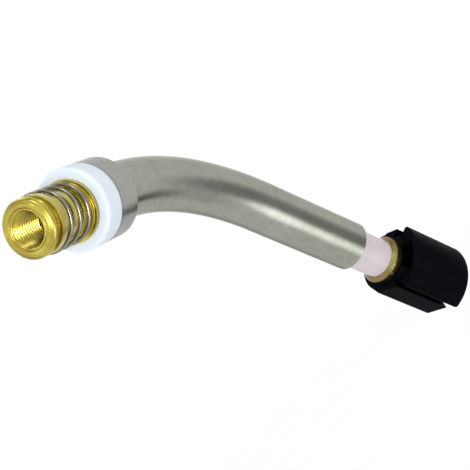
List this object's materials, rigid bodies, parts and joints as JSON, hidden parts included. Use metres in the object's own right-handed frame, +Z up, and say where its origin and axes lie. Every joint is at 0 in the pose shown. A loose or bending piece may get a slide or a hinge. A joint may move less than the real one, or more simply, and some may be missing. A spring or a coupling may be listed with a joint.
{
  "type": "welding torch swan neck",
  "caption": "Bent swan neck of a gas-cooled welding torch: brass tip seat with nozzle spring, white insulating ring, steel jacket, insulated copper core and pull-off black cap.",
  "frame": {"origin": "on the front axis where the wall of the tip thread begins, 0.5 mm behind the front face", "axes": "+X runs into the part along the front axis, +Z is up, and the neck bends down towards -Z in the XZ plane"},
  "size_m": [0.1611, 0.0249, 0.102],
  "materials": {
    "seat_brass": "turned, bright",
    "spring_steel": "drawn wire",
    "white_insulation": "smooth matt",
    "collar_steel": "satin nickel",
    "jacket_steel": "satin nickel",
    "sleeve_insulation": "smooth, slightly see-through",
    "conductor_copper": "drawn copper",
    "connector_brass": "turned, bright",
    "cap_black": "moulded, fine grain"
  },
  "bodies": {
    "neck": {"tip_seat": "seat_brass", "nozzle_spring": "spring_steel", "insulating_ring": "white_insulation", "front_collar": "collar_steel", "jacket_tube": "jacket_steel", "insulating_sleeve": "sleeve_insulation", "conductor_tube": "conductor_copper", "rear_connector": "connector_brass"},
    "cap": {"rear_cap": "cap_black"}
  },
  "joints": [
    {"name": "cap_pull", "type": "slide", "parent": "neck", "child": "cap", "axis": [0.7071, 0, -0.7071], "range_m": [0, 0.045]}
  ]
}
